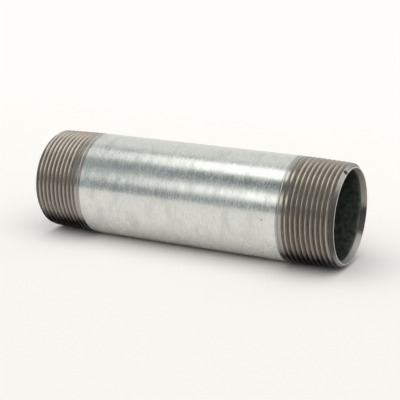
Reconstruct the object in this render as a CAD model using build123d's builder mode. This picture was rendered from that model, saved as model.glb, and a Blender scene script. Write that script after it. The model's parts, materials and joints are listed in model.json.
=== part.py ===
from build123d import *
import os
from math import atan, cos, degrees, radians, sin

# Galvanised steel pipe nipple, nominal 1-1/2 inch, 6 inch long, taper pipe thread R 1-1/2
# at both ends.  Lengths in mm.  The pipe lies along X, +Z is up, and the origin is the
# middle of its axis.

# Pipe
length = 152.4
outside_radius = 48.3 / 2
bore_radius = 40.9 / 2
zinc = 0.08

# Taper pipe thread: 11 threads to the inch, 55 degree Whitworth form, whose depth and root
# radius are fixed shares of the pitch, and a taper of 1 in 16 on diameter
pitch = 25.4 / 11
flank_angle = 27.5
depth_per_pitch = 0.640327
root_radius_per_pitch = 0.137
radius_taper = 1 / 32
gauge_length = 12.7
gauge_crest_radius = 47.803 / 2

# Ends of the pipe
rim_outer_radius = 21.8
rim_inner_radius = 21.35
chamfer_length = 1.75
ream_length = 2.8

# Thread run-out, measured in from each end: the root starts to rise out of the metal, has
# left it, and the zinc begins.  Past the taper the die has still skimmed the steel lightly,
# less and less towards the zinc.
runout_start = 20.7
runout_end = 26.1
zinc_start = 26.2
die_skim = 0.02

# Where each groove starts on its end face, as an angle about +X from +Y towards +Z
near_start_angle = 123.2
far_start_angle = 259.8

thread_depth = depth_per_pitch * pitch
root_radius = root_radius_per_pitch * pitch
steel_outside_radius = outside_radius - zinc
steel_bore_radius = bore_radius + zinc
skimmed_radius = steel_outside_radius - die_skim
small_end_radius = gauge_crest_radius - gauge_length * radius_taper
chamfer_crest_radius = small_end_radius + chamfer_length * radius_taper
taper_length = (skimmed_radius - small_end_radius) / radius_taper
half_length = length / 2
zinc_half_length = half_length - zinc_start

# The ream is one cone that cuts through the zinc into the steel
ream_slope = (rim_inner_radius - bore_radius) / ream_length
steel_ream_length = (rim_inner_radius - steel_bore_radius) / ream_slope

# The groove's section reaches a little past the crest, so that it opens cleanly, and its
# path starts outside the metal and ends above it
groove_overreach = 0.12
lead_in = 1.3 * pitch
runout_overshoot = 0.5
runout_root_radius = small_end_radius + runout_start * radius_taper - thread_depth
runout_slope = (steel_outside_radius - runout_root_radius) / (runout_end - runout_start)


def root_arc_radius(depth):
    """Distance from the axis to the centre of the root's arc, this far in from the end."""
    on_taper = min(depth, runout_start) * radius_taper
    in_runout = max(depth - runout_start, 0) * runout_slope
    return small_end_radius - thread_depth + root_radius + on_taper + in_runout


def helix_turns(start, end, slope):
    """One helix per turn between two depths, on the cone that the root's arc centre follows."""
    cone_angle = atan(slope)
    turns = []
    depth = start
    while depth < end:
        next_depth = min(depth + pitch, end)
        turn = Edge.make_helix(
            pitch / cos(cone_angle),
            next_depth - depth,
            root_arc_radius(depth),
            center=(0, 0, depth),
            angle=degrees(cone_angle),
        )
        turns.append(turn.rotate(Axis.Z, 360 * depth / pitch))
        depth = next_depth
    return turns


def draw_groove_section(arc_centre):
    """Straight 55 degree flanks that run into a rounded root."""
    flank = radians(flank_angle)
    tangent_x = arc_centre - root_radius * sin(flank)
    tangent_y = root_radius * cos(flank)
    mouth_x = arc_centre - root_radius + thread_depth + groove_overreach
    mouth_y = tangent_y + (mouth_x - tangent_x) * sin(flank) / cos(flank)
    Line((mouth_x, mouth_y), (tangent_x, tangent_y))
    ThreePointArc((tangent_x, tangent_y), (arc_centre - root_radius, 0), (tangent_x, -tangent_y))
    Line((tangent_x, -tangent_y), (mouth_x, -mouth_y))
    Line((mouth_x, -mouth_y), (mouth_x, mouth_y))


# The right-hand groove is drawn on a vertical axis, with the end face at Z = 0, the metal
# above it and the groove's root crossing the end face at angle 0.  It starts clear of the
# end face and leaves the metal in the run-out.
lead_in_angle = radians(-360 * lead_in / pitch)
section_plane = Plane(
    origin=(0, 0, -lead_in),
    x_dir=(cos(lead_in_angle), sin(lead_in_angle), 0),
    z_dir=(sin(lead_in_angle), -cos(lead_in_angle), 0),
)
thread_turns = helix_turns(-lead_in, runout_start, radius_taper)
runout_turns = helix_turns(runout_start, zinc_start + runout_overshoot, runout_slope)

with BuildPart() as thread_groove:
    with BuildSketch(section_plane):
        with BuildLine():
            draw_groove_section(root_arc_radius(-lead_in))
        make_face()
    sweep(path=Wire(thread_turns + runout_turns), is_frenet=True, clean=False)


def end_location(side, start_angle):
    """Puts the groove's axis on the pipe's, pointing in from the end on this side of X."""
    turn = radians(start_angle)
    return Plane(
        origin=(side * half_length, 0, 0),
        x_dir=(0, cos(turn), sin(turn)),
        z_dir=(-side, 0, 0),
    ).location


ends = [
    end_location(1, near_start_angle),
    end_location(-1, far_start_angle),
]

# The steel pipe, turned about X, with a right-hand groove cut into each end
with BuildPart() as steel_pipe:
    with BuildSketch(Plane.XZ):
        with BuildLine():
            Polyline(
                (0, steel_bore_radius),
                (half_length - steel_ream_length, steel_bore_radius),
                (half_length, rim_inner_radius),
                (half_length, rim_outer_radius),
                (half_length - chamfer_length, chamfer_crest_radius),
                (half_length - taper_length, skimmed_radius),
                (zinc_half_length, steel_outside_radius),
                (0, steel_outside_radius),
                (0, steel_bore_radius),
            )
        make_face()
        mirror(about=Plane.YZ)
    revolve(axis=Axis.X)
    for end in ends:
        add(thread_groove.part.moved(end), clean=False, mode=Mode.SUBTRACT)

# Hot-dip zinc on the outside, between the two threads
with BuildPart() as outer_zinc_coat:
    with BuildSketch(Plane.YZ.offset(-zinc_half_length)):
        Circle(outside_radius)
        Circle(steel_outside_radius, mode=Mode.SUBTRACT)
    extrude(amount=2 * zinc_half_length)

# Hot-dip zinc inside the bore, cut back at both ends by the ream
with BuildPart() as bore_zinc_coat:
    with BuildSketch(Plane.XZ):
        with BuildLine():
            Polyline(
                (half_length - ream_length, bore_radius),
                (half_length - steel_ream_length, steel_bore_radius),
                (steel_ream_length - half_length, steel_bore_radius),
                (ream_length - half_length, bore_radius),
                (half_length - ream_length, bore_radius),
            )
        make_face()
    revolve(axis=Axis.X)

pieces = {
    "steel_pipe": steel_pipe,
    "outer_zinc_coat": outer_zinc_coat,
    "bore_zinc_coat": bore_zinc_coat,
}
os.makedirs("parts", exist_ok=True)
for name, piece in pieces.items():
    piece.part.label = name
    export_step(piece.part, f"parts/{name}.step")
    print(name, round(piece.part.volume, 1), "mm3, valid", piece.part.is_valid)
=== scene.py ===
import json
import math

import bmesh
import bpy
import numpy as np
from mathutils import Matrix, Vector, noise


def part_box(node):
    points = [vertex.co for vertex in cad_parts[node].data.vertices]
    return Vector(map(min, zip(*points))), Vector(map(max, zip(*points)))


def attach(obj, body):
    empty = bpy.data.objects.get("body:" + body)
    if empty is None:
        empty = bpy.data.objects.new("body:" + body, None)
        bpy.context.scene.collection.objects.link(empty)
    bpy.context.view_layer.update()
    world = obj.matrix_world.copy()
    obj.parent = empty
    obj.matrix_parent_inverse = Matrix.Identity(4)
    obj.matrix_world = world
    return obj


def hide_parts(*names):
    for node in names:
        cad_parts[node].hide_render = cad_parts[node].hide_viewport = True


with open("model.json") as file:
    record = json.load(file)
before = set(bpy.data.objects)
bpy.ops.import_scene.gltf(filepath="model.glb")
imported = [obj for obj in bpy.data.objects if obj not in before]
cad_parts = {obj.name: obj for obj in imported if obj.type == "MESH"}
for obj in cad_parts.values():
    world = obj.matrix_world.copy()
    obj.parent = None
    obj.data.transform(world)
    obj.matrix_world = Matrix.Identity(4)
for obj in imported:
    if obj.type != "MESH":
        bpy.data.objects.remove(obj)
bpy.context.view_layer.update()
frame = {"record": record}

# A galvanised pipe nipple, lying along X with its near, open end at +X.  Lengths are in metres
# in the CAD frame, and in millimetres inside the materials.  "Depth" is the distance in from an
# end face, and "around" is the angle about +X from +Y towards +Z.

MM = 0.001
TURN = 2 * math.pi

# Sizes of the pipe, from the CAD nodes and the record's mounts
mounts = {mount["name"]: mount for mount in frame["record"]["mounts"]}
STEEL_HALF_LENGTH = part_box("steel_pipe")[1].x
ZINC_HALF_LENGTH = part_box("outer_zinc_coat")[1].x
LINER_HALF_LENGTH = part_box("bore_zinc_coat")[1].x
OUTSIDE_RADIUS = mounts["barrel"]["dims"]["r_mm"] * MM
BORE_RADIUS = mounts["flow_bore"]["dims"]["r_mm"] * MM
ZINC = 0.08 * MM
STEEL_OUTER = OUTSIDE_RADIUS - ZINC
STEEL_BORE = BORE_RADIUS + ZINC
ZINC_START = STEEL_HALF_LENGTH - ZINC_HALF_LENGTH

# Taper pipe thread: 11 threads to the inch, 55 degree form with rounded roots and crests
PITCH = 25.4 / 11 * MM
FLANK = math.radians(27.5)
THREAD_DEPTH = 0.640327 * PITCH
ROOT_RADIUS = 0.137 * PITCH
ARC_HALF_WIDTH = ROOT_RADIUS * math.cos(FLANK)
FLANK_END = PITCH / 2 - ARC_HALF_WIDTH

# The taper: the radius of the crests at the gauge plane, and from it at the end face
TAPER = 1 / 32
GAUGE_RADIUS = 47.803 / 2 * MM
GAUGE_DEPTH = 12.7 * MM
SMALL_END = GAUGE_RADIUS - GAUGE_DEPTH * TAPER

# Past the taper the steel is a little low, and the groove climbs out of it
DIE_SKIM = 0.02 * MM
TAPER_END = (STEEL_OUTER - DIE_SKIM - SMALL_END) / TAPER
RUNOUT_START = 20.7 * MM
RUNOUT_END = 26.1 * MM
RUNOUT_ROOT = SMALL_END + RUNOUT_START * TAPER - THREAD_DEPTH
RUNOUT_SLOPE = (STEEL_OUTER - RUNOUT_ROOT) / (RUNOUT_END - RUNOUT_START)

# Where around the pipe each end's groove starts, and the laps of groove that are meshed
GROOVE_STARTS = {1: math.radians(123.2), -1: math.radians(259.8)}
FIRST_LAP = -2
LAST_LAP = 12

# Ends of the pipe
RIM_OUTER = 21.8 * MM
RIM_INNER = 21.35 * MM
CHAMFER = 1.75 * MM
REAM = 2.8 * MM
STEEL_REAM = REAM * (RIM_INNER - STEEL_BORE) / (RIM_INNER - BORE_RADIUS)

# Wear on the crests, and a small nick on the near chamfer beside the start of its thread
CREST_WEAR = 0.012 * MM
NICK = Vector((STEEL_HALF_LENGTH - 0.7 * MM, -7.0 * MM, 21.3 * MM))
NICK_SIZE = 1.25 * MM
NICK_DEPTH = 0.35 * MM

# Waves in the zinc, which are always taken off it, so that it stays within the CAD
BARREL_WAVE = 0.016 * MM
BARREL_RIPPLE = 0.006 * MM
BORE_WAVE = 0.03 * MM
BORE_WAVE_FADE = 2 * MM

# How finely the meshes are cut
COLUMNS = 288
GROOVE_STEPS = np.array([-1, -0.66, -0.32, -0.16, 0, 0.16, 0.32, 0.66, 1])
CREST_STEPS = np.array([0.25, 0.5, 0.75])
STEPS_PER_TURN = len(GROOVE_STEPS) + len(CREST_STEPS)
REACH_SAMPLES = 400
BARREL_RINGS = 126
BARREL_WALL_RINGS = 26
BORE_RINGS = 90
BORE_WALL_RINGS = 30
REAM_RINGS = 7
MERGE_DISTANCE = 0.0002 * MM
STEEL_SHARP_ANGLE = 35
ZINC_SHARP_ANGLE = 40

around = np.arange(COLUMNS) * TURN / COLUMNS


# ---------------------------------------------------------------- shapes


def point_at(x, radius, angle):
    """The point at a place along, out from and around the axis."""
    return Vector((x, radius * math.cos(angle), radius * math.sin(angle)))


def ring(x, radius):
    """One circle of points about the X axis; x and radius are numbers or one per column."""
    points = np.empty((COLUMNS, 3))
    points[:, 0] = x
    points[:, 1] = radius * np.cos(around)
    points[:, 2] = radius * np.sin(around)
    return points


def wave_share(place, scale):
    """Soft noise from 0 to 1, finer with a larger scale."""
    return 0.5 + 0.5 * noise.noise(place * scale)


def blank_radius(depth):
    """The turned end before threading: chamfer, taper, and the lightly skimmed steel after it."""
    chamfer_top = SMALL_END + CHAMFER * TAPER
    depths = [0, CHAMFER, TAPER_END, ZINC_START]
    return np.interp(depth, depths, [RIM_OUTER, chamfer_top, STEEL_OUTER - DIE_SKIM, STEEL_OUTER])


def root_arc_radius(depth):
    """Distance from the axis to the centre of the root's arc."""
    on_taper = np.minimum(depth, RUNOUT_START) * TAPER
    in_runout = np.maximum(depth - RUNOUT_START, 0) * RUNOUT_SLOPE
    return SMALL_END - THREAD_DEPTH + ROOT_RADIUS + on_taper + in_runout


def groove_radius(depth, root):
    """Radius of the groove whose root lies at depth root: an arc and two straight flanks."""
    centre = root_arc_radius(root)
    away = np.abs(depth - root)
    arc = centre - np.sqrt(np.maximum(ROOT_RADIUS**2 - away**2, 0))
    flank = centre - ROOT_RADIUS * math.sin(FLANK) + (away - ARC_HALF_WIDTH) / math.tan(FLANK)
    return np.where(away < ARC_HALF_WIDTH, arc, flank)


def crest_radius(depth, crest):
    """Radius of the rounded crest at depth crest, which is the root's arc turned outwards."""
    centre = root_arc_radius(crest) + THREAD_DEPTH - 2 * ROOT_RADIUS
    away = np.abs(depth - crest)
    arc = centre + np.sqrt(np.maximum(ROOT_RADIUS**2 - away**2, 0))
    return np.where(away < ARC_HALF_WIDTH, arc, np.inf)


def thread_surface(depth, turn):
    """Radius of the threaded end at a depth, where turn is the share of a turn from the start."""
    radius = blank_radius(depth)
    for lap in range(FIRST_LAP, LAST_LAP + 2):
        root = PITCH * (turn + lap)
        radius = np.minimum(radius, groove_radius(depth, root))
        radius = np.minimum(radius, crest_radius(depth, root + PITCH / 2))
    return radius


def groove_reach(root, side):
    """How far a groove's mouth lies from its root, to where it meets the blank or the crest."""
    reach = np.linspace(0, FLANK_END, REACH_SAMPLES)
    depth = root[..., None] + side * reach
    inside = groove_radius(depth, root[..., None]) < blank_radius(depth)
    return np.max(reach * inside, axis=-1)


def crest_wear(place):
    """How much a crest is worn or torn at a place, which is never outward."""
    rough = noise.noise(place * 900) * 0.6 + noise.noise(place * 350)
    return CREST_WEAR * min(max(0.4 + rough, 0), 1.6)


def nick_depth(place):
    """How far the nick goes in at a place."""
    return NICK_DEPTH * max(1 - ((place - NICK).length / NICK_SIZE) ** 2, 0)


def threaded_end(side):
    """Rows of points from the end face to the zinc, which follow the groove, and how many
    rows each column is out of step with the next."""
    lead = (np.arange(COLUMNS + 1) * TURN / COLUMNS - GROOVE_STARTS[side]) * -side / TURN
    laps_done = np.floor(lead)
    turn = (lead - laps_done)[:COLUMNS]
    slips = np.diff(laps_done).astype(int) * STEPS_PER_TURN
    laps = np.arange(FIRST_LAP, LAST_LAP + 1)
    root = PITCH * (turn[None, :] + laps[:, None])
    low = root - groove_reach(root, -1)
    high = root + groove_reach(root, 1)
    rows = []
    for lap in range(len(laps) - 1):
        for step in GROOVE_STEPS:
            edge = high[lap] if step > 0 else low[lap]
            rows.append(root[lap] + abs(step) * (edge - root[lap]))
        for step in CREST_STEPS:
            rows.append(high[lap] + step * (low[lap + 1] - high[lap]))
    depth = np.clip(np.array(rows), 0, ZINC_START)
    radius = thread_surface(depth, turn[None, :])
    x = side * (STEEL_HALF_LENGTH - depth)
    for spot in np.ndindex(depth.shape):
        above_middle = radius[spot] - (SMALL_END - 0.5 * THREAD_DEPTH + depth[spot] * TAPER)
        if above_middle > 0 and 0 < depth[spot] < ZINC_START:
            place = point_at(x[spot], radius[spot], around[spot[1]])
            radius[spot] -= crest_wear(place) * min(above_middle / (0.5 * THREAD_DEPTH), 1)
            radius[spot] -= nick_depth(place)
    return [ring(*row) for row in zip(x, radius)], slips


class Shell:
    """A mesh made of rings of points, joined by strips of four-sided faces."""

    def __init__(self):
        self.points = []
        self.faces = []

    def add(self, points):
        """Adds one ring and returns the number of its first point."""
        first = len(self.points)
        self.points.extend(map(tuple, points))
        return first

    def tube(self, places, radius):
        """Adds a ring of the same radius at each place along X, and returns their numbers."""
        return [self.add(ring(x, radius)) for x in places]

    def join(self, chain):
        """Joins each ring of a chain to the next."""
        for first, second in zip(chain, chain[1:]):
            for column in range(COLUMNS):
                after = (column + 1) % COLUMNS
                self.faces.append((first + column, first + after, second + after, second + column))

    def stepped_rows(self, rows, slips):
        """Adds rows that follow a helix; slips says where the next column starts a lap on."""
        firsts = [self.add(row) for row in rows]
        for row in range(len(rows) - 1):
            for column in range(COLUMNS):
                after = (column + 1) % COLUMNS
                beside = row + slips[column]
                if 0 <= beside < len(rows) - 1:
                    edge = (firsts[row] + column, firsts[beside] + after)
                    next_edge = (firsts[beside + 1] + after, firsts[row + 1] + column)
                    self.faces.append(edge + next_edge)
        return firsts[0], firsts[-1]

    def finish(self, name, sharp_angle):
        """Makes the object: doubled points merged, faces turned outwards, sharp edges kept."""
        mesh = bpy.data.meshes.new(name)
        mesh.from_pydata(self.points, [], self.faces)
        work = bmesh.new()
        work.from_mesh(mesh)
        bmesh.ops.remove_doubles(work, verts=work.verts, dist=MERGE_DISTANCE)
        bmesh.ops.dissolve_degenerate(work, edges=work.edges, dist=MERGE_DISTANCE)
        bmesh.ops.recalc_face_normals(work, faces=work.faces)
        work.to_mesh(mesh)
        work.free()
        mesh.shade_smooth()
        mesh.set_sharp_from_angle(angle=math.radians(sharp_angle))
        piece = bpy.data.objects.new(name, mesh)
        bpy.context.scene.collection.objects.link(piece)
        return piece


def ream_wall(shell, side):
    """Rings down the ream of one end, from its rim to the bore."""
    walls = []
    for depth in np.linspace(0, STEEL_REAM, REAM_RINGS):
        radius = RIM_INNER + (STEEL_BORE - RIM_INNER) * depth / STEEL_REAM
        walls.append(shell.add(ring(side * (STEEL_HALF_LENGTH - depth), radius)))
    return walls


def make_steel_pipe():
    """The steel: both threads, the rims and reams, and the plain walls under the zinc."""
    shell = Shell()
    ends = {}
    for side in (1, -1):
        rows, slips = threaded_end(side)
        ends[side] = shell.stepped_rows(rows, slips)
    near_rim, near_zinc = ends[1]
    far_rim, far_zinc = ends[-1]
    places = np.linspace(ZINC_HALF_LENGTH, -ZINC_HALF_LENGTH, BARREL_WALL_RINGS)[1:-1]
    under_zinc = shell.tube(places, STEEL_OUTER)
    shell.join([near_zinc] + under_zinc + [far_zinc])
    far_ream = ream_wall(shell, -1)
    near_ream = ream_wall(shell, 1)
    places = np.linspace(-LINER_HALF_LENGTH, LINER_HALF_LENGTH, BORE_WALL_RINGS)[1:-1]
    bore = shell.tube(places, STEEL_BORE)
    shell.join([far_rim] + far_ream + bore + near_ream[::-1] + [near_rim])
    return shell.finish("steel_pipe_threaded", STEEL_SHARP_ANGLE)


def make_outer_zinc():
    """The outer coat, with the slight waves that a dipped coat has."""
    shell = Shell()
    outer = []
    for x in np.linspace(-ZINC_HALF_LENGTH, ZINC_HALF_LENGTH, BARREL_RINGS):
        radii = []
        for angle in around:
            place = point_at(x, OUTSIDE_RADIUS, angle)
            wave = BARREL_WAVE * wave_share(place, 55)
            ripple = BARREL_RIPPLE * wave_share(place, 190)
            radii.append(OUTSIDE_RADIUS - (wave + ripple))
        outer.append(shell.add(ring(x, np.array(radii))))
    shell.join(outer)
    places = np.linspace(ZINC_HALF_LENGTH, -ZINC_HALF_LENGTH, BARREL_WALL_RINGS)
    inner = shell.tube(places, STEEL_OUTER)
    shell.join([outer[-1]] + inner + [outer[0]])
    return shell.finish("outer_zinc_sleeve", ZINC_SHARP_ANGLE)


def make_bore_zinc():
    """The coat inside the bore, cut back by the ream at both ends."""
    shell = Shell()
    slope_end = STEEL_HALF_LENGTH - REAM
    inner = []
    for x in np.linspace(slope_end, -slope_end, BORE_RINGS):
        end_fade = min(1, (slope_end - abs(x)) / BORE_WAVE_FADE)
        radii = []
        for angle in around:
            wave = wave_share(point_at(x, BORE_RADIUS, angle), 120)
            radii.append(BORE_RADIUS + BORE_WAVE * wave * end_fade)
        inner.append(shell.add(ring(x, np.array(radii))))
    places = np.linspace(-LINER_HALF_LENGTH, LINER_HALF_LENGTH, BORE_WALL_RINGS)
    outer = shell.tube(places, STEEL_BORE)
    shell.join(inner + outer + [inner[0]])
    return shell.finish("bore_zinc_liner", ZINC_SHARP_ANGLE)


# ---------------------------------------------------------------- materials


class Graph:
    """Short ways to add nodes to a node tree."""

    def __init__(self, tree):
        self.tree = tree

    def add(self, kind, inputs, **settings):
        """Adds a node, with its settings and with a value or a link for each input named."""
        node = self.tree.nodes.new(kind)
        for key, value in settings.items():
            setattr(node, key, value)
        for socket, value in inputs.items():
            self.feed(node.inputs[socket], value)
        return node

    def feed(self, socket, value):
        """Links a socket to an output, or sets it to a plain value."""
        if isinstance(value, bpy.types.NodeSocket):
            self.tree.links.new(value, socket)
        else:
            socket.default_value = value

    def math(self, operation, *values):
        inputs = dict(enumerate(values))
        return self.add("ShaderNodeMath", inputs, operation=operation).outputs[0]

    def gap(self, first, second):
        """How far apart two values are."""
        return self.math("ABSOLUTE", self.math("SUBTRACT", first, second))

    def vary(self, value, pattern, amount):
        """value moved up and down by a pattern that runs from 0 to 1 about 0.5."""
        return self.math("MULTIPLY_ADD", self.math("SUBTRACT", pattern, 0.5), amount, value)

    def split(self, vector):
        """The x, y and z of a vector."""
        return self.add("ShaderNodeSeparateXYZ", {0: vector}).outputs

    def scaled(self, vector, scale):
        inputs = {0: vector, 1: scale}
        return self.add("ShaderNodeVectorMath", inputs, operation="MULTIPLY").outputs[0]

    def noise(self, vector, scale, detail, roughness):
        inputs = {"Vector": vector, "Scale": scale, "Detail": detail, "Roughness": roughness}
        return self.add("ShaderNodeTexNoise", inputs).outputs["Fac"]

    def uneven_noise(self, vector, scales, detail, roughness):
        """Noise with a scale of its own along each axis."""
        return self.noise(self.scaled(vector, scales), 1.0, detail, roughness)

    def between(self, value, low, high, to_low=0.0, to_high=1.0):
        """value smoothly mapped from low..high to to_low..to_high."""
        inputs = {0: value, 1: low, 2: high, 3: to_low, 4: to_high}
        node = self.add("ShaderNodeMapRange", inputs, interpolation_type="SMOOTHSTEP")
        return node.outputs[0]

    def mix(self, factor, first, second):
        """The first colour where factor is 0, and the second where it is 1."""
        inputs = {0: factor, 6: first, 7: second}
        return self.add("ShaderNodeMix", inputs, data_type="RGBA").outputs[2]

    def ramp(self, value, stops):
        """Colour read off a ramp, whose stops are pairs of place and colour."""
        node = self.add("ShaderNodeValToRGB", {0: value})
        elements = node.color_ramp.elements
        while len(elements) < len(stops):
            elements.new(0.5)
        for element, (position, colour) in zip(elements, stops):
            element.position = position
            element.color = colour
        return node.outputs[0]

    def bump(self, height, strength, distance):
        inputs = {"Height": height, "Strength": strength, "Distance": distance}
        return self.add("ShaderNodeBump", inputs).outputs[0]


def start_material(name, roughness, metallic):
    """A material with one principled shader, and the point in millimetres."""
    material = bpy.data.materials.new(name)
    material.use_nodes = True
    tree = material.node_tree
    shader = tree.nodes["Principled BSDF"]
    shader.inputs["Roughness"].default_value = roughness
    shader.inputs["Metallic"].default_value = metallic
    graph = Graph(tree)
    coordinates = graph.add("ShaderNodeTexCoord", {}).outputs["Object"]
    place = graph.scaled(coordinates, (1000, 1000, 1000))
    return material, graph, shader, place


# Colours of the cut steel: the threads from crest to root, and the plain parts
THREAD_COLOURS = [
    (0.0, (0.35, 0.324, 0.290, 1)),
    (0.30, (0.38, 0.354, 0.318, 1)),
    (0.60, (0.41, 0.381, 0.342, 1)),
    (0.82, (0.30, 0.274, 0.242, 1)),
    (1.0, (0.19, 0.17, 0.147, 1)),
]
RUNOUT_COLOUR = (0.40, 0.39, 0.365, 1)
# The chamfer's painted dark reflection, then the chamfer's own colour
CHAMFER_PAINTED_REFLECTION = (0.085, 0.08, 0.073, 1)
CHAMFER_PALE = (0.275, 0.271, 0.262, 1)
RIM_DARK = (0.46, 0.45, 0.42, 1)
RIM_PALE = (0.62, 0.61, 0.575, 1)
# The ream's painted dark reflection, then the ream's own colour on either side of it
REAM_PAINTED_REFLECTION = (0.070, 0.064, 0.058, 1)
REAM_ABOVE = (0.36, 0.335, 0.32, 1)
REAM_BELOW = (0.345, 0.34, 0.322, 1)
# The nick's colour, nearly black: partly the nick itself, partly painted shade in its hollow
NICK_AND_SHADE_COLOUR = (0.03, 0.027, 0.024, 1)
# Painted shade: the near-black underside of the threads
UNDERSIDE_PAINTED_SHADE = (0.007, 0.006, 0.005, 1)

# The height at which the chamfer's painted dark reflection is darkest, and the stretches over
# which marks fade in or out, in millimetres, or for the ream's painted dark reflection in degrees
# around the pipe
CHAMFER_REFLECTION_HEIGHT = 1.5
CHAMFER_REFLECTION_REACH = (11, 18)
RUNOUT_BRIGHT = (23.0, 24.6)
REAM_REFLECTION_TOP = (-8, 4)
REAM_REFLECTION_FOOT = (-33, -41)
PAINTED_SHADE_TOP = (-17.8, -10.5)


def groove_share(graph, depth, radius):
    """How deep in its groove a point lies: 0 on the crests and 1 at the roots."""
    crest = graph.math("MULTIPLY_ADD", depth, TAPER, SMALL_END / MM)
    crest = graph.math("MINIMUM", crest, (STEEL_OUTER - DIE_SKIM / 2) / MM)
    past = graph.math("MAXIMUM", graph.math("SUBTRACT", depth, RUNOUT_START / MM), 0)
    groove = graph.math("MULTIPLY_ADD", past, -RUNOUT_SLOPE, THREAD_DEPTH / MM)
    groove = graph.math("MAXIMUM", groove, 0.2)
    return graph.math("DIVIDE", graph.math("SUBTRACT", crest, radius), groove)


def ream_colour(graph, xyz, specks):
    """The turned ream, with a dark reflection painted over one part of it."""
    round_it = graph.math("MULTIPLY", graph.math("ARCTAN2", xyz[2], xyz[1]), 180 / math.pi)
    round_it = graph.vary(round_it, specks, 30)
    below_reflection = graph.between(round_it, *REAM_REFLECTION_FOOT)
    above_reflection = graph.between(round_it, *REAM_REFLECTION_TOP)
    colour = graph.mix(above_reflection, REAM_PAINTED_REFLECTION, REAM_ABOVE)
    return graph.mix(below_reflection, colour, REAM_BELOW)


def steel_material():
    """Bare cut steel: worn crests and flanks, darker brown towards the roots, turned ends, and
    painted shade and dark reflections.
    """
    material, graph, shader, place = start_material("cut_steel", 0.34, 1.0)
    xyz = graph.split(place)
    square = graph.math("ADD", graph.math("POWER", xyz[1], 2), graph.math("POWER", xyz[2], 2))
    radius = graph.math("SQRT", square)
    depth = graph.math("SUBTRACT", STEEL_HALF_LENGTH / MM, graph.math("ABSOLUTE", xyz[0]))
    below = groove_share(graph, depth, radius)

    # The chamfer, the rim and the ream have no groove
    cone = graph.math("ADD", depth, RIM_OUTER / MM)
    chamfered = graph.between(graph.gap(radius, cone), 0.12, 0.02)
    inside = graph.between(radius, RIM_OUTER / MM + 0.1, RIM_OUTER / MM)
    reamed = graph.between(radius, RIM_INNER / MM + 0.02, RIM_INNER / MM - 0.05)

    streaks = graph.uneven_noise(place, (6, 0.35, 0.35), 4, 0.6)
    patches = graph.noise(place, 0.22, 3, 0.6)
    specks = graph.uneven_noise(place, (3.0, 1.4, 1.4), 4, 0.7)
    # Darker towards the roots, by depth in the groove, with noise
    toward_root = graph.vary(below, patches, 0.45)
    toward_root = graph.vary(toward_root, streaks, 0.4)
    toward_root = graph.vary(toward_root, specks, 0.25)
    threads = graph.ramp(graph.between(toward_root, 0, 1), THREAD_COLOURS)
    runout = graph.between(graph.math("MULTIPLY_ADD", below, -1.2, depth), *RUNOUT_BRIGHT)
    threads = graph.mix(runout, threads, RUNOUT_COLOUR)

    # The chamfer is painted dark half way up, with an uneven edge: a painted reflection of
    # something dark
    from_painted_reflection = graph.gap(graph.vary(xyz[2], specks, 8), CHAMFER_REFLECTION_HEIGHT)
    from_painted_reflection = graph.between(from_painted_reflection, *CHAMFER_REFLECTION_REACH)
    colour = graph.mix(chamfered, threads, graph.mix(from_painted_reflection, CHAMFER_PAINTED_REFLECTION, CHAMFER_PALE))
    colour = graph.mix(inside, colour, graph.mix(patches, RIM_DARK, RIM_PALE))
    colour = graph.mix(reamed, colour, ream_colour(graph, xyz, specks))

    # The nick is painted nearly black: a real nick, with the shade in its hollow painted in
    ends = {0: place, 1: tuple(NICK / MM)}
    away = graph.add("ShaderNodeVectorMath", ends, operation="DISTANCE").outputs["Value"]
    nick_and_shade = graph.between(away, NICK_SIZE / MM * 1.15, NICK_SIZE / MM * 0.6)
    colour = graph.mix(nick_and_shade, colour, NICK_AND_SHADE_COLOUR)

    # The underside of the threads is painted near black as painted shade, for the dark it reflects
    # from beneath, a little higher up towards the far end
    shade_height = graph.vary(graph.math("MULTIPLY_ADD", xyz[0], 0.015, xyz[2]), patches, 6)
    unshaded = graph.between(shade_height, *PAINTED_SHADE_TOP)
    unshaded = graph.math("MAXIMUM", unshaded, graph.math("MAXIMUM", inside, chamfered))
    colour = graph.mix(unshaded, UNDERSIDE_PAINTED_SHADE, colour)
    graph.feed(shader.inputs["Base Color"], colour)

    rough = graph.between(toward_root, 0, 0.45, 0.17, 0.47)
    graph.feed(shader.inputs["Roughness"], graph.vary(rough, streaks, 0.2))
    fine = graph.uneven_noise(place, (14, 0.8, 0.8), 3, 0.6)
    height = graph.math("ADD", graph.math("MULTIPLY", streaks, 0.6), fine)
    graph.feed(shader.inputs["Normal"], graph.bump(height, 0.35, 0.02 * MM))
    return material


# Colours of the outer coat
ZINC_COLOURS = [(0.0, (0.615, 0.635, 0.615, 1)), (1.0, (0.745, 0.76, 0.725, 1))]
BLOTCH_COLOUR = (0.59, 0.615, 0.595, 1)
SCUFF_COLOUR = (0.92, 0.93, 0.91, 1)
SPOT_COLOUR = (0.30, 0.31, 0.305, 1)


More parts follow.
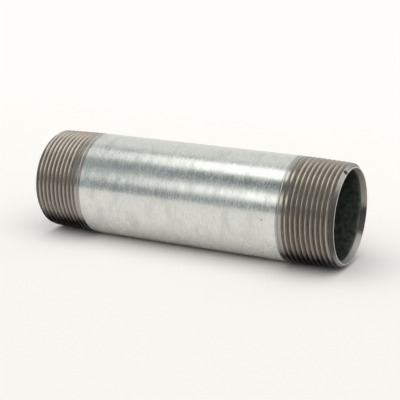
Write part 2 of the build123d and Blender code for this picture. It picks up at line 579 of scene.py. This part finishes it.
def zinc_material():
    """Hot-dip zinc: a soft metallic sheen, frosted and streaked round the pipe."""
    material, graph, shader, place = start_material("outer_zinc", 0.2, 1.0)
    streaks = graph.uneven_noise(place, (1.6, 0.28, 0.28), 4, 0.65)
    mottle = graph.noise(place, 0.9, 4, 0.6)
    patches = graph.noise(place, 0.09, 2, 0.5)
    frost = graph.math("MULTIPLY_ADD", mottle, 0.5, graph.math("MULTIPLY", streaks, 0.5))
    colour = graph.ramp(graph.between(frost, 0.32, 0.68), ZINC_COLOURS)

    # Broad uneven patches, and fine pale scuffs that run round the pipe
    blotch = graph.uneven_noise(place, (0.16, 0.10, 0.10), 5, 0.62)
    colour = graph.mix(graph.between(blotch, 0.34, 0.52), BLOTCH_COLOUR, colour)
    scuffs = graph.uneven_noise(place, (3.2, 0.16, 0.16), 3, 0.7)
    scuffed = graph.math("MULTIPLY", graph.between(scuffs, 0.56, 0.70), patches)
    colour = graph.mix(scuffed, colour, SCUFF_COLOUR)

    # Small dull, dark pits, here and there
    cells = graph.add("ShaderNodeTexVoronoi", {"Vector": place, "Scale": 0.16}).outputs
    rare = graph.between(graph.split(cells["Color"])[0], 0.66, 0.74)
    spot = graph.math("MULTIPLY", graph.between(cells["Distance"], 0.10, 0.03), rare)
    colour = graph.mix(spot, colour, SPOT_COLOUR)
    graph.feed(shader.inputs["Base Color"], colour)

    rough = graph.between(graph.math("MULTIPLY_ADD", patches, 0.4, frost), 0.5, 0.9, 0.14, 0.30)
    rough = graph.math("MULTIPLY_ADD", spot, 0.15, rough)
    rough = graph.math("MULTIPLY_ADD", scuffed, 0.12, rough)
    graph.feed(shader.inputs["Roughness"], rough)
    grain = graph.uneven_noise(place, (5, 1.2, 1.2), 3, 0.6)
    height = graph.math("MULTIPLY_ADD", grain, 0.4, frost)
    height = graph.math("MULTIPLY_ADD", spot, -0.6, height)
    sag = graph.uneven_noise(place, (0.22, 0.12, 0.12), 2, 0.5)
    height = graph.math("MULTIPLY_ADD", sag, 5.0, height)
    graph.feed(shader.inputs["Normal"], graph.bump(height, 0.5, 0.03 * MM))
    return material


BORE_COLOURS = [(0.0, (0.125, 0.150, 0.125, 1)), (1.0, (0.185, 0.215, 0.180, 1))]


def bore_material():
    """The coat inside the bore: dull and dark."""
    material, graph, shader, place = start_material("bore_zinc", 0.45, 1.0)
    mottle = graph.noise(place, 0.5, 4, 0.6)
    colour = graph.ramp(graph.between(mottle, 0.3, 0.7), BORE_COLOURS)
    graph.feed(shader.inputs["Base Color"], colour)
    graph.feed(shader.inputs["Roughness"], graph.between(mottle, 0.3, 0.7, 0.36, 0.5))
    graph.feed(shader.inputs["Normal"], graph.bump(mottle, 0.3, 0.08 * MM))
    return material


# The floor's colour in front and behind: the lighter back is painted light
FLOOR_IN_FRONT = (0.865, 0.835, 0.810, 1)
FLOOR_BEHIND = (0.925, 0.895, 0.870, 1)


def floor_material():
    """Plain pale studio floor, with painted light: it is painted a little lighter behind."""
    material, graph, shader, place = start_material("studio_floor", 0.9, 0.0)
    shader.inputs["Specular IOR Level"].default_value = 0.0
    behind = graph.between(graph.split(place)[1], -250, 400)
    graph.feed(shader.inputs["Base Color"], graph.mix(behind, FLOOR_IN_FRONT, FLOOR_BEHIND))
    return material


# ---------------------------------------------------------------- pieces

pieces = [
    (make_steel_pipe(), "steel_pipe", "cut_steel", steel_material()),
    (make_outer_zinc(), "outer_zinc_coat", "outer_zinc", zinc_material()),
    (make_bore_zinc(), "bore_zinc_coat", "bore_zinc", bore_material()),
]
for piece, node_name, slot_name, material in pieces:
    piece.data.materials.append(material)
    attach(piece, "root")
    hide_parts(node_name)

# ---------------------------------------------------------------- studio

FLOOR_HALF_SIZE = 4.0
FLOOR_SEGMENTS = 8
FLOOR_GAP = 0.02 * MM


def make_floor():
    """The studio floor, just clear of the pipe's underside."""
    mesh = bpy.data.meshes.new("floor")
    work = bmesh.new()
    bmesh.ops.create_grid(
        work, x_segments=FLOOR_SEGMENTS, y_segments=FLOOR_SEGMENTS, size=FLOOR_HALF_SIZE
    )
    work.to_mesh(mesh)
    work.free()
    floor = bpy.data.objects.new("floor", mesh)
    bpy.context.scene.collection.objects.link(floor)
    floor.location.z = -OUTSIDE_RADIUS - FLOOR_GAP
    mesh.materials.append(floor_material())


# The studio round the pipe: soft-edged panels on an even room, later ones over earlier ones.
# A panel's place is an angle in the plane across the pipe, in degrees: 0 is level in front, 90
# straight up, 180 level behind.  Each has its middle, half width, soft edge, and brightness
# towards the left and the right.  Places and brightness were set until the pipe's
# reflections were about as bright as in the photo.
ROOM_LEVEL = 0.88
PANELS = {
    "dim front of the room": (55, 50, 15, 0.48, 0.65),
    "low dark screen": (10, 4, 8, 0.36, 0.40),
    "front lamp": (31, 3, 12, 0.55, 1.75),
    "dark gap": (60, 5, 10, 0.42, 0.25),
    "overhead lamp": (88, 9, 7, 0.72, 2.00),
}
LEFT_TO_RIGHT = (-0.515, -0.40)
DIM_LEVEL = 0.75

# A light beyond the near end, over a dim lower part.  As the camera sees it, only the thread
# flanks and the turned end of the pipe reflect it.
END_LIGHT = (2.00, 1.91, 1.80, 1)
END_LIGHT_FOOT = (0.32, 0.335, 0.36, 1)
END_LIGHT_RISE = (0.20, 0.45)
END_LIGHT_START = (0.2, 0.5)

# What the camera sees behind the floor, what lights the matt floor from all round, and the
# strength, tilt and width of the lamp over it, in degrees
BACKDROP = (0.965, 0.94, 0.912, 1)
FILL = (0.5, 0.5, 0.5, 1)
KEY_LEVEL = 1.90
KEY_TILT = 21
KEY_WIDTH = 90


def tone(level):
    """Colour of the studio at a brightness: cool where it is dim, a little warm elsewhere."""
    cool = max(0.0, DIM_LEVEL - level)
    warm = 1 - cool / DIM_LEVEL
    red = level * (1 - 0.24 * cool)
    blue = level * (1 + 0.14 * cool) * (1 - 0.035 * warm)
    return (red, level, blue, 1)


def make_world():
    """Soft studio all round: the panels, and the light beyond the near end."""
    world = bpy.data.worlds.new("studio")
    world.use_nodes = True
    bpy.context.scene.world = world
    tree = world.node_tree
    graph = Graph(tree)
    xyz = graph.split(graph.add("ShaderNodeTexCoord", {}).outputs["Generated"])
    angle = graph.math("ARCTAN2", xyz[2], graph.math("MULTIPLY", xyz[1], -1))
    degrees = graph.math("MULTIPLY", angle, 180 / math.pi)
    along = graph.between(xyz[0], *LEFT_TO_RIGHT)
    studio = tone(ROOM_LEVEL)
    for middle, half_width, soft_edge, left_level, right_level in PANELS.values():
        cover = graph.between(graph.gap(degrees, middle), half_width + soft_edge, half_width)
        panel = graph.mix(along, tone(left_level), tone(right_level))
        studio = graph.mix(cover, studio, panel)
    end_light = graph.mix(graph.between(xyz[2], *END_LIGHT_RISE), END_LIGHT_FOOT, END_LIGHT)
    studio = graph.mix(graph.between(xyz[0], *END_LIGHT_START), studio, end_light)
    ray = graph.add("ShaderNodeLightPath", {}).outputs
    colour = graph.mix(ray["Is Diffuse Ray"], studio, FILL)
    colour = graph.mix(ray["Is Camera Ray"], colour, BACKDROP)
    background = tree.nodes["Background"]
    graph.feed(background.inputs["Color"], colour)
    background.inputs["Strength"].default_value = 1.0


def make_lamp():
    """A wide soft light from above and in front, which lights the floor but not the metal."""
    lamp = bpy.data.lights.new("soft_key", "SUN")
    lamp.angle = math.radians(KEY_WIDTH)
    lamp.energy = KEY_LEVEL
    holder = bpy.data.objects.new("soft_key", lamp)
    bpy.context.scene.collection.objects.link(holder)
    holder.rotation_euler = (math.radians(KEY_TILT), 0, 0)
    holder.visible_glossy = False
    holder.visible_camera = False


# The camera: its direction from the pipe in degrees, its distance from the pipe's middle and
# how far it is shifted right and up in millimetres, its lens, and the nearest it sees in metres.
# They were fitted so that the pipe's outline falls where it does in the photo.
CAMERA_AZIMUTH = 27.0
CAMERA_ELEVATION = 15.6
CAMERA_DISTANCE = 538.313
CAMERA_RIGHT = 1.35
CAMERA_UP = -2.232
CAMERA_LENS = 103.1
CAMERA_SENSOR = 36
CAMERA_CLIP = 0.01


def make_camera():
    """The camera at the photo's angle; back points from the pipe towards it."""
    azimuth = math.radians(CAMERA_AZIMUTH)
    elevation = math.radians(CAMERA_ELEVATION)
    right = Vector((math.cos(azimuth), math.sin(azimuth), 0))
    level = math.cos(elevation)
    back = Vector((math.sin(azimuth) * level, -math.cos(azimuth) * level, math.sin(elevation)))
    up = back.cross(right)
    camera_data = bpy.data.cameras.new("camera")
    camera_data.lens = CAMERA_LENS
    camera_data.sensor_width = CAMERA_SENSOR
    camera_data.clip_start = CAMERA_CLIP
    camera = bpy.data.objects.new("camera", camera_data)
    camera.matrix_world = Matrix((right, up, back)).transposed().to_4x4()
    camera.location = (CAMERA_RIGHT * right + CAMERA_UP * up + CAMERA_DISTANCE * back) * MM
    bpy.context.scene.collection.objects.link(camera)
    bpy.context.scene.camera = camera


make_floor()
make_world()
make_lamp()
make_camera()
bpy.context.scene.view_settings.view_transform = "Standard"
